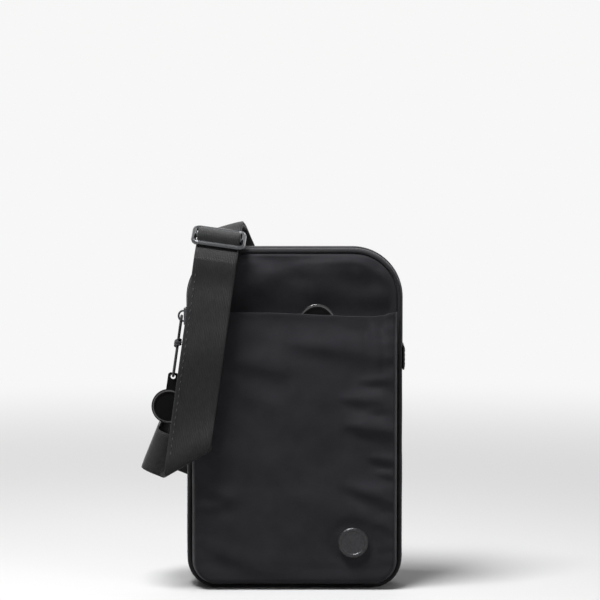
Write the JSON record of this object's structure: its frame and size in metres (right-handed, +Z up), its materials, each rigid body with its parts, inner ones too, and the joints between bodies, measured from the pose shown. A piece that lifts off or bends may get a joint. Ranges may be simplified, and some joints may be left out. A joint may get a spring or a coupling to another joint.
{
  "type": "crossbody phone bag",
  "caption": "Slim upright crossbody bag with a slip pocket, a zip wrapped over its top, a small zip behind the pocket, disc pulls and a webbing strap with adjuster.",
  "frame": {"origin": "middle of the underside of the base, halfway between the two sides and halfway through the gusset's depth", "axes": "+Z up along the bag's height, -Y out of the front with the slip pocket and badge, +X to the right seen from the front"},
  "size_m": [0.1542, 0.0775, 0.2151],
  "materials": {
    "nylon": "closely woven black nylon, soft sheen",
    "lining": "plain black lining cloth, matt",
    "piping": "bound black seam cord, soft sheen",
    "webbing": "ribbed black webbing, satin",
    "zip_tape": "fine woven zip tape, matt",
    "zip_teeth": "moulded black teeth, satin",
    "hardware": "black coated metal, glossy",
    "badge": "dark plated metal, satin",
    "cord": "braided black cord, matt",
    "rubber": "moulded black rubber, satin"
  },
  "bodies": {
    "bag": {"adjuster": "hardware", "back_lining": "lining", "back_panel": "nylon", "badge": "badge", "badge_washer": "hardware", "base_gusset": "nylon", "front_lining": "lining", "front_panel": "nylon", "piping_back": "piping", "piping_front": "piping", "ring_tab_left": "webbing", "ring_tab_right": "webbing", "slip_pocket": "nylon", "small_zip_tape_lower": "zip_tape", "small_zip_tape_upper": "zip_tape", "small_zip_teeth_lower": "zip_teeth", "small_zip_teeth_upper": "zip_teeth", "strap_webbing": "webbing", "zip_end_tab_left": "webbing", "zip_end_tab_right": "webbing", "zip_tape_back": "zip_tape", "zip_tape_front": "zip_tape", "zip_teeth_back": "zip_teeth", "zip_teeth_front": "zip_teeth"},
    "main_slider": {"main_zip_slider": "hardware"},
    "main_pull": {"main_pull_cord": "cord"},
    "main_disc": {"main_pull_disc": "rubber"},
    "small_slider": {"small_zip_slider": "hardware", "small_pull_cord": "cord"},
    "small_disc": {"small_pull_disc": "rubber"},
    "left_ring": {"ring_left": "hardware"},
    "right_ring": {"ring_right": "hardware"}
  },
  "joints": [
    {"name": "main_zip_travel", "type": "slide", "parent": "bag", "child": "main_slider", "axis": [0, 0, 1], "range_m": [-0.001, 0.006]},
    {"name": "main_pull_swing", "type": "hinge", "parent": "main_slider", "child": "main_pull", "pos_m": [-0.06645, 0, 0.1595], "axis": [0, 1, 0], "range_deg": [0, 150]},
    {"name": "main_disc_swing", "type": "hinge", "parent": "main_pull", "child": "main_disc", "pos_m": [-0.07158, 0, 0.12387], "axis": [0, 1, 0], "range_deg": [0, 30]},
    {"name": "small_zip_travel", "type": "slide", "parent": "bag", "child": "small_slider", "axis": [1, 0, 0], "range_m": [-0.002, 0.034]},
    {"name": "small_disc_swing", "type": "hinge", "parent": "small_slider", "child": "small_disc", "pos_m": [-0.00485, -0.01794, 0.15863], "axis": [0.035, 0.9994, 0], "range_deg": [-20, 20]},
    {"name": "ring_left_swing", "type": "hinge", "parent": "bag", "child": "left_ring", "pos_m": [-0.04583, 0.0173, 0.15839], "axis": [1, 0, -0.0003], "range_deg": [-4, 4]},
    {"name": "ring_right_swing", "type": "hinge", "parent": "bag", "child": "right_ring", "pos_m": [0.04524, 0.0173, 0.15804], "axis": [0.9975, 0, -0.0703], "range_deg": [-4, 4]}
  ]
}
